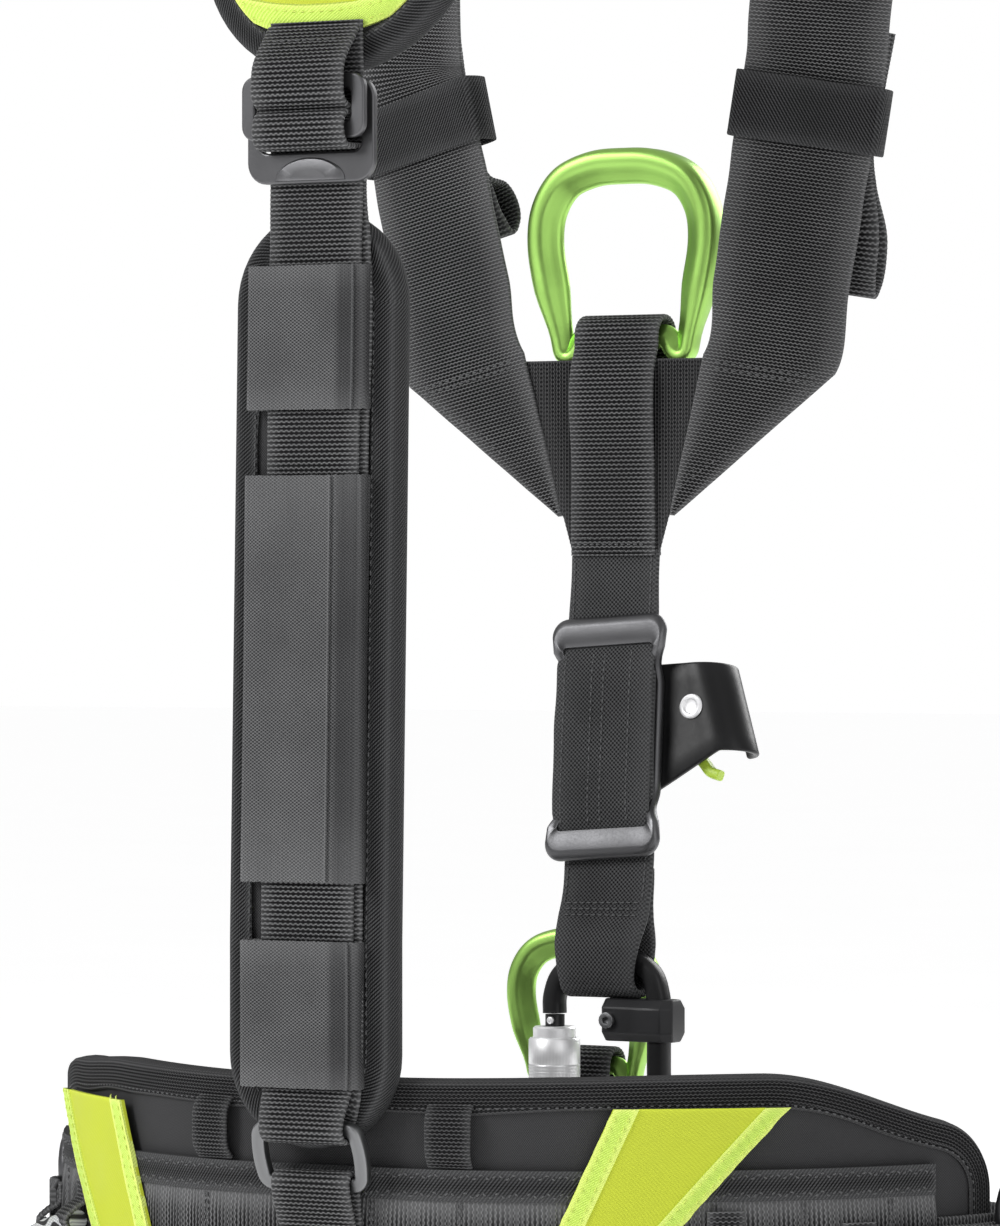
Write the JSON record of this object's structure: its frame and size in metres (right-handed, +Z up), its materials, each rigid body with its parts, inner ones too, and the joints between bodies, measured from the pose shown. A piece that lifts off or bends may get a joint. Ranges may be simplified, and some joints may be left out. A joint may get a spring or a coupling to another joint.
{
  "type": "tree climbing saddle",
  "caption": "Full-body arborist saddle with padded belt, buckled back strap, chest ring, chest ascender, locking carabiner and leg loops.",
  "frame": {"origin": "under the middle of the whole harness, level with the bottom of the leg loops; the waist belt's centre is 252.8 mm above it", "axes": "+Z up, +Y the way the wearer faces, +X the wearer's right"},
  "size_m": [0.5144, 0.3043, 0.9296],
  "materials": {
    "charcoal_webbing": "charcoal polyamide webbing, bead-like plain weave",
    "black_fabric": "black padded fabric with twill binding",
    "grey_wrap": "grey knitted hook-and-loop fabric",
    "neon_fabric": "neon yellow-green coated fabric with stitched tape edges",
    "loop_fabric": "grey and white tubular webbing over a stiff core",
    "satin_dark_metal": "satin dark grey coated steel",
    "black_metal": "glossy black anodised aluminium",
    "green_metal": "satin lime-green anodised",
    "silver_metal": "satin silver",
    "black_plastic": "black moulded plastic",
    "green_plastic": "green moulded plastic"
  },
  "bodies": {
    "harness": {"lumbar_pad": "black_fabric", "belt_band": "black_fabric", "neon_panel_left": "neon_fabric", "neon_panel_right": "neon_fabric", "tool_loop_left": "charcoal_webbing", "tool_loop_right": "charcoal_webbing", "gear_loop_left": "loop_fabric", "gear_loop_right": "loop_fabric", "hip_tab_left": "charcoal_webbing", "hip_tab_right": "charcoal_webbing", "dorsal_link": "satin_dark_metal", "dorsal_anchor": "charcoal_webbing", "dorsal_webbing": "charcoal_webbing", "dorsal_pad": "black_fabric", "wrap_upper": "grey_wrap", "wrap_middle": "grey_wrap", "wrap_lower": "grey_wrap", "dorsal_buckle_frame": "satin_dark_metal", "yoke_webbing": "charcoal_webbing", "yoke_pad": "black_fabric", "yoke_panel": "neon_fabric", "shoulder_strap_left": "charcoal_webbing", "shoulder_strap_right": "charcoal_webbing", "strap_tail_left": "charcoal_webbing", "strap_tail_right": "charcoal_webbing", "chest_backing": "black_fabric", "sternal_loop": "charcoal_webbing", "chest_strap": "charcoal_webbing", "ascender_frame": "satin_dark_metal", "ascender_body": "black_metal", "ascender_axle": "silver_metal", "ventral_tab": "charcoal_webbing", "bridge_loop": "charcoal_webbing", "waist_webbing_left": "charcoal_webbing", "waist_webbing_right": "charcoal_webbing", "waist_buckle_frame": "satin_dark_metal", "leg_pad_left": "black_fabric", "leg_pad_right": "black_fabric", "leg_webbing_left": "charcoal_webbing", "leg_webbing_right": "charcoal_webbing", "leg_hanger_left": "charcoal_webbing", "leg_hanger_right": "charcoal_webbing", "leg_bridge": "charcoal_webbing"},
    "sternal_ring": {"sternal_ring": "green_metal"},
    "ventral_ring": {"ventral_ring": "green_metal"},
    "carabiner": {"carabiner_body": "black_metal", "carabiner_clip": "black_plastic", "clip_screw": "silver_metal"},
    "gate": {"carabiner_gate": "black_metal", "gate_rivet": "silver_metal"},
    "collar": {"gate_collar": "silver_metal"},
    "grip": {"gate_grip": "silver_metal"},
    "cam": {"ascender_cam": "silver_metal"},
    "catch": {"ascender_catch": "green_plastic"},
    "dorsal_slide": {"dorsal_buckle_slide": "satin_dark_metal"},
    "waist_slide": {"waist_buckle_slide": "satin_dark_metal"},
    "hip_ring_left": {"hip_ring_left": "satin_dark_metal"},
    "hip_ring_right": {"hip_ring_right": "satin_dark_metal"},
    "keeper_left": {"strap_keeper_left": "black_fabric"},
    "keeper_right": {"strap_keeper_right": "black_fabric"}
  },
  "joints": [
    {"name": "sternal_ring_swing", "type": "hinge", "parent": "harness", "child": "sternal_ring", "pos_m": [0, 0.1324, 0.6548], "axis": [1, 0, 0], "range_deg": [-90, 35]},
    {"name": "ventral_ring_swing", "type": "hinge", "parent": "harness", "child": "ventral_ring", "pos_m": [-0.016, 0.1234, 0.3253], "axis": [1, 0, 0], "range_deg": [-90, 8]},
    {"name": "carabiner_swing", "type": "hinge", "parent": "harness", "child": "carabiner", "pos_m": [0.011, 0.0934, 0.3754], "axis": [1, 0, 0], "range_deg": [-1, 3.5]},
    {"name": "gate_open", "type": "hinge", "parent": "carabiner", "child": "gate", "pos_m": [-0.015, 0.0934, 0.3008], "axis": [0, 1, 0], "range_deg": [0, 20]},
    {"name": "collar_twist", "type": "hinge", "parent": "gate", "child": "collar", "pos_m": [-0.015, 0.0934, 0.3288], "axis": [0, 0, 1], "range_deg": [0, 90]},
    {"name": "grip_slide", "type": "slide", "parent": "collar", "child": "grip", "axis": [0, 0, 1], "range_m": [0, 0.006]},
    {"name": "cam_swing", "type": "hinge", "parent": "harness", "child": "cam", "pos_m": [0.04548, 0.11805, 0.48783], "axis": [0, -0.9806, 0.1961], "range_deg": [0, 38]},
    {"name": "catch_press", "type": "hinge", "parent": "harness", "child": "catch", "pos_m": [0.03997, 0.11375, 0.46633], "axis": [0, -0.9806, 0.1961], "range_deg": [0, 15]},
    {"name": "dorsal_slide_tilt", "type": "hinge", "parent": "harness", "child": "dorsal_slide", "pos_m": [0, -0.1451, 0.7313], "axis": [1, 0, 0], "range_deg": [0, 6]},
    {"name": "waist_slide_tilt", "type": "hinge", "parent": "harness", "child": "waist_slide", "pos_m": [0.07569, 0.0986, 0.2528], "axis": [0, 0, -1], "range_deg": [0, 6]},
    {"name": "hip_ring_left_swing", "type": "hinge", "parent": "harness", "child": "hip_ring_left", "pos_m": [-0.23799, 0.03415, 0.2528], "axis": [0, 0, 1], "range_deg": [-12, 80]},
    {"name": "hip_ring_right_swing", "type": "hinge", "parent": "harness", "child": "hip_ring_right", "pos_m": [0.23799, 0.03415, 0.2528], "axis": [0, 0, -1], "range_deg": [-12, 80]},
    {"name": "keeper_left_slide", "type": "slide", "parent": "harness", "child": "keeper_left", "axis": [-0.1563, 0.0284, 0.9873], "range_m": [-0.006, 0.006]},
    {"name": "keeper_right_slide", "type": "slide", "parent": "harness", "child": "keeper_right", "axis": [0.1563, 0.0284, 0.9873], "range_m": [-0.006, 0.006]}
  ]
}
